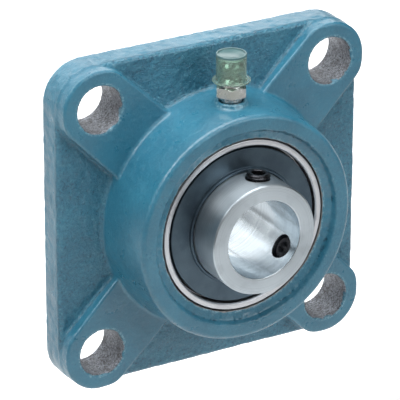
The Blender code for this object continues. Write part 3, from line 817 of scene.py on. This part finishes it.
def screw_places():
    """Where each set screw stands: its matrix, from the axis along which its joint slides it inwards."""
    places = []
    for index in (1, 2):
        joint = next(j for j in frame["joints"] if j["name"] == f"set_screw_{index}_travel")
        x, _, z = joint["axis"]
        places.append(radial(math.atan2(-z, -x), SCREW_H))
    return places


def inner_ring_mesh():
    race_r = BALL_R * RACE_FIT
    race_at = PITCH_R - BALL_R - RACE_GAP + race_r
    turn = math.acos((race_at - INNER_R) / race_r)
    race = [(race_at - race_r * math.cos(a), -race_r * math.sin(a)) for a in np.linspace(turn, -turn, 15)]
    low, high = -INNER_REAR, INNER_FRONT
    outside = [(INNER_R - 0.3, low), (INNER_R, low + 0.3)] + race
    outside += [(INNER_R, high - 0.3), (INNER_R - 0.3, high)]
    inside = [(SHAFT_R + 0.15, high), (SHAFT_R, high - 0.15), (SHAFT_R, low + 0.3), (SHAFT_R + 0.3, low)]
    mesh = turned_mesh("inner_ring_turned", soften(outside + inside, 0.08), INSERT, 192)
    tools = []
    for index, place in enumerate(screw_places(), 1):
        tools.append(rod_mesh(f"screw_hole_{index}", SCREW_R + 0.1, SHAFT_R - 1, INNER_R + 1, place, 64))
    return cut(mesh, *tools)


def hexagon_radius(half, angles):
    """Radius at each angle of a hexagon that is half this wide, from its middle to a flat."""
    return half / np.cos(angles % math.radians(60) - math.radians(30))


def set_screw_mesh(name, place):
    """A threaded grub screw: helical thread, chamfered ends, hexagon socket and cupped point."""
    segments, per_turn = 72, 10
    angles = np.arange(segments) * TURN / segments
    length = SCREW_TOP - SCREW_POINT
    rows = int(length / SCREW_PITCH * per_turn) + 1
    heights = np.linspace(0, length, rows)
    profile = [(0.6, 0.7), (1.6, 0.0)]
    for height in heights:
        phase = (height / SCREW_PITCH - angles / TURN) % 1
        ridge = np.clip(1.5 * np.abs(2 * phase - 1) - 0.25, 0, 1)
        thread = SCREW_R - SCREW_THREAD_DEEP * (1 - ridge)
        ends = SCREW_R - 0.6 + min(height, length - height)
        profile.append((lambda _, r=np.minimum(thread, ends): r, height))
    hexagon = hexagon_radius(SOCKET_HALF, angles)
    profile.append((lambda _: hexagon + 0.18, length))
    profile.append((lambda _: hexagon, length - 0.16))
    profile.append((lambda _: hexagon, length - SOCKET_DEEP))
    profile.append((lambda _: hexagon * 0.3, length - SOCKET_DEEP - 0.3))
    lifted = Matrix.Translation((0, 0, SCREW_POINT))
    return turned_mesh(name, profile, place @ lifted, segments, closed=False, smooth_angle=28)


def mirrored(profile, side):
    return [(radius, side * height) for radius, height in profile]


def slinger_mesh(name, side):
    """A pressed disc with a turned-back rim and a collar that grips the inner ring."""
    thick, collar = 0.7, 0.9
    high = SLINGER_TOP - collar
    low = high - thick
    inner = INNER_R + 0.15
    rim_r = SLINGER_R - thick
    profile = [(rim_r, low), (rim_r, low - thick), (SLINGER_R, low - thick), (SLINGER_R, high)]
    profile += [(inner + thick, high), (inner + thick, high + collar), (inner, high + collar), (inner, low)]
    return turned_mesh(name, mirrored(soften(profile, 0.3), side), INSERT, 192)


def seal_mesh(name, side):
    lip = 0.45
    low, high = SEAL_H, SEAL_H + 0.7
    inner, outer = INNER_R + 0.3, MOUTH_R - 0.3
    profile = [(inner, low), (outer, low), (outer, high), (outer - 1.2, high), (outer - 1.5, high - 0.15)]
    profile += [(inner + 2.6, high - 0.15), (inner + 4 * lip, high)]
    profile += [(inner + 2 * lip, high + lip), (inner, high + lip)]
    return turned_mesh(name, mirrored(soften(profile, 0.12), side), INSERT, 160)


def sphere_mesh(name, radius, centre, segments=48):
    heights = np.linspace(-math.pi / 2, math.pi / 2, segments // 2 + 1)[1:-1]
    profile = [(radius * math.cos(a), radius * math.sin(a)) for a in heights]
    points, faces = turned(profile, segments, closed=False)
    points[-2:, 2] = (-radius, radius)
    return solid(name, points, faces, Matrix.Translation(centre), 60)


# Grease nipple and cap.
def nipple_mesh():
    """Thread stub, neck, chamfered hexagon, body, grip head and the passage through them."""
    flats = HEX_HALF
    bottom, top = 2.1, 4.8
    body, grip = 3.0, 2.2
    tip = NIPPLE_HIGH[2] - NIPPLE_SEAT
    head = tip - body

    def hexagon(limit):
        return lambda angles: np.minimum(hexagon_radius(flats, angles), limit)

    corner = flats / math.cos(math.radians(30))
    profile = [(2.25, -THREAD_L), (2.7, -THREAD_L + 0.45), (2.7, bottom - 0.5)]
    profile += [(3.1, bottom - 0.2), (3.2, bottom)]
    steps = np.linspace(0, 1, 7)
    spread = corner - flats + 0.12
    profile += [(hexagon(flats - 0.12 + spread * s), bottom + spread * s * 0.2) for s in steps]
    profile += [(hexagon(flats - 0.12 + spread * s), top - spread * s * 0.4) for s in steps[::-1]]
    upper = [(body, top), (body, top + 1.0), (grip, top + 2.1), (grip, head - 0.45), (body, head + 0.45)]
    upper += [(body, head + body / 2), (body * 0.86, head + body * 0.75), (body * 0.6, tip)]
    profile += [tuple(p) for p in soften(upper, 0.15, closed=False)]
    roof = tip - 1.0
    floor = roof - 4.9
    profile += [(0.7, tip), (0.7, tip - 0.35), (1.35, roof), (1.35, floor), (0.7, floor), (0.7, -THREAD_L)]
    return turned_mesh("grease_nipple_turned", profile, NIPPLE, 96, smooth_angle=25)


def cap_mesh():
    """A translucent cup with a rolled lip, notched where its strap was cut off, and a rim round its top."""
    base = CAP_LOW[2] - NIPPLE_SEAT
    top = CAP_HIGH[2] - NIPPLE_SEAT
    inner, outer = 3.3, 3.7
    lip = CAP_HIGH[0]
    notch_at = math.radians(-130)

    def lip_radius(reach):
        def radius(angles):
            away = np.abs((angles - notch_at + math.pi) % TURN - math.pi)
            return outer + (reach - outer) * (1 - np.exp(-((away / 0.16) ** 2)))

        return radius

    profile = [(inner - 0.4, top - 0.75), (inner, top - 1.15), (inner, base + 0.3), (inner + 0.15, base)]
    bead = [(-0.5, 0.08), (-0.3, 0.0), (-0.08, 0.04), (0.0, 0.2), (-0.08, 0.38), (-0.3, 0.42), (-0.5, 0.33)]
    profile += [(lip_radius(lip + reach), base + rise) for reach, rise in bead]
    profile += [(outer + 0.12, base + 0.33), (outer, base + 0.5)]
    shoulder = [(outer, base + 1.3), (outer, top - 0.15), (outer - 0.12, top)]
    profile += [tuple(p) for p in soften(shoulder, 0.1, False)]
    profile += [(outer - 0.34, top), (outer - 0.42, top - 0.08)]
    profile += [(outer - 0.45, top - 0.3), (outer - 0.55, top - 0.35)]
    return turned_mesh("nipple_cap_turned", profile, NIPPLE, 128, closed=False, smooth_angle=40)


def make_pieces():
    enamel = paint()
    satin = turned_steel("satin_steel", (0.60, 0.62, 0.65), (0.78, 0.80, 0.83), 0.24, along=0.4)
    dull, bright = (0.49, 0.555, 0.60), (0.66, 0.73, 0.775)
    ground = turned_steel("ground_steel", dull, bright, 0.15, 0.004, along=0.75, outside=0.12)
    ball = turned_steel("bearing_steel", (0.62, 0.63, 0.64), (0.80, 0.81, 0.82), 0.06, 0.001)
    pressed = turned_steel("pressed_steel", (0.40, 0.40, 0.41), (0.58, 0.58, 0.59), 0.3, 0.02)
    dark, black_rubber, black = slinger_steel(), rubber(), black_oxide()

    piece("housing_casting", housing_mesh(), enamel, "housing_body", "teal_paint", "housing")
    piece("outer_ring_fine", outer_ring_mesh(), satin, "outer_race", "satin_steel", "outer_ring")
    piece("inner_ring_fine", inner_ring_mesh(), ground, "inner_race", "ground_steel", "inner_ring")
    for index, place in enumerate(screw_places(), 1):
        screw = f"set_screw_{index}"
        mesh = set_screw_mesh(f"{screw}_threaded", place)
        piece(f"{screw}_fine", mesh, black, f"screw_{index}", "black_oxide_steel", screw)
    for end, side in (("front", 1), ("rear", -1)):
        mesh = slinger_mesh(f"{end}_slinger_pressed", side)
        piece(f"{end}_slinger_fine", mesh, dark, "inner_race", "dark_slinger_steel", f"{end}_slinger")
        mesh = seal_mesh(f"{end}_seal_moulded", side)
        piece(f"{end}_seal_fine", mesh, black_rubber, "outer_race", "black_rubber", f"{end}_seal")
    for index in range(1, 9):
        low, high = span(f"ball_{index}")
        mesh = sphere_mesh(f"ball_{index}_ground", BALL_R, (low + high) / 2)
        piece(f"ball_{index}_fine", mesh, ball, f"ball_body_{index}", "bearing_steel", f"ball_{index}")
    low, high = span("nipple_check_ball")
    mesh = sphere_mesh("check_ball_ground", (high[0] - low[0]) / 2, (low + high) / 2, 32)
    piece("check_ball_fine", mesh, ball, "valve_ball", "bearing_steel", "nipple_check_ball")
    piece("grease_nipple_fine", nipple_mesh(), zinc(), "housing_body", "zinc_plated_steel", "grease_nipple")
    piece("nipple_cap_fine", cap_mesh(), plastic(), "cap", "green_plastic", "nipple_cap")
    for name, node in frame["nodes"].items():
        if name.startswith(("cage", "locking_pin", "nipple_spring")):
            node.data.materials.clear()
            node.data.materials.append(satin if name == "locking_pin" else pressed)


# Stage.
CAMERA_YAW = -30.194
CAMERA_PITCH = 23.989
CAMERA_ROLL = 0.2126
CAMERA_DISTANCE = 856.016
CAMERA_SHIFT = (6.003, -2.953)
FOCAL = 316.476
AIM = Vector((0, -14.5, 0))
FLOOR_DROP = 120
FLOOR_REACH = 4000.0
WORLD_LIGHT = 0.075


def make_camera():
    yaw, pitch, roll = (math.radians(a) for a in (CAMERA_YAW, CAMERA_PITCH, CAMERA_ROLL))
    back = Vector((math.sin(yaw) * math.cos(pitch), -math.cos(yaw) * math.cos(pitch), math.sin(pitch)))
    level = Vector((math.cos(yaw), math.sin(yaw), 0))
    upright = back.cross(level)
    right = math.cos(roll) * level + math.sin(roll) * upright
    up = -math.sin(roll) * level + math.cos(roll) * upright
    spot = AIM - CAMERA_SHIFT[0] * right - CAMERA_SHIFT[1] * up + CAMERA_DISTANCE * back
    data = bpy.data.cameras.new("camera")
    data.lens = FOCAL
    data.sensor_width = 36
    data.clip_start, data.clip_end = 0.01, 20
    camera = bpy.data.objects.new("camera", data)
    matrix = Matrix((right, up, back)).transposed().to_4x4()
    matrix.translation = spot * MM
    camera.matrix_world = matrix
    bpy.context.scene.collection.objects.link(camera)
    bpy.context.scene.camera = camera


def softbox(name, spot, size, power, colour=(1, 1, 1)):
    """An area light at a spot in millimetres, turned to the middle of the object."""
    data = bpy.data.lights.new(name, "AREA")
    data.shape = "RECTANGLE"
    data.size, data.size_y = (side * MM for side in size)
    data.energy = power
    data.color = colour
    light = bpy.data.objects.new(name, data)
    spot = Vector(spot)
    light.location = spot * MM
    light.rotation_euler = (AIM - spot).to_track_quat("-Z", "Y").to_euler()
    bpy.context.scene.collection.objects.link(light)


def make_stage():
    floor_z = FLANGE_LOW[2] - FLOOR_DROP
    corners = [(FLOOR_REACH * x, FLOOR_REACH * y, floor_z) for x, y in ((-1, -1), (1, -1), (1, 1), (-1, 1))]
    mesh = make_mesh("floor", corners, [[0, 1, 2, 3]])
    floor = bpy.data.objects.new("floor", mesh)
    bpy.context.scene.collection.objects.link(floor)
    mesh.materials.append(floor_finish())
    softbox("overhead", (0, -50, 500), (480, 380), 2.9)
    softbox("key", (-340, -60, 400), (220, 220), 1.1)
    softbox("front", (150, -420, 200), (300, 200), 0.65)
    softbox("left", (-480, -150, 200), (260, 360), 0.26, (0.97, 0.99, 1.0))
    softbox("right", (380, -380, 160), (120, 360), 0.2)
    softbox("rear", (-31, 500, 300), (542, 400), 1.2)
    softbox("rear_right", (355, 505, 250), (185, 260), 0.33)
    softbox("rear_left", (-402, 478, 130), (119, 380), 0.23)
    world = bpy.data.worlds.new("studio")
    world.use_nodes = True
    background = world.node_tree.nodes["Background"]
    background.inputs["Color"].default_value = (1, 1, 1, 1)
    background.inputs["Strength"].default_value = WORLD_LIGHT
    bpy.context.scene.world = world
    bpy.context.scene.view_settings.view_transform = "Standard"


def write_sizes():
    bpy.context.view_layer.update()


make_camera()
make_stage()
make_pieces()
write_sizes()
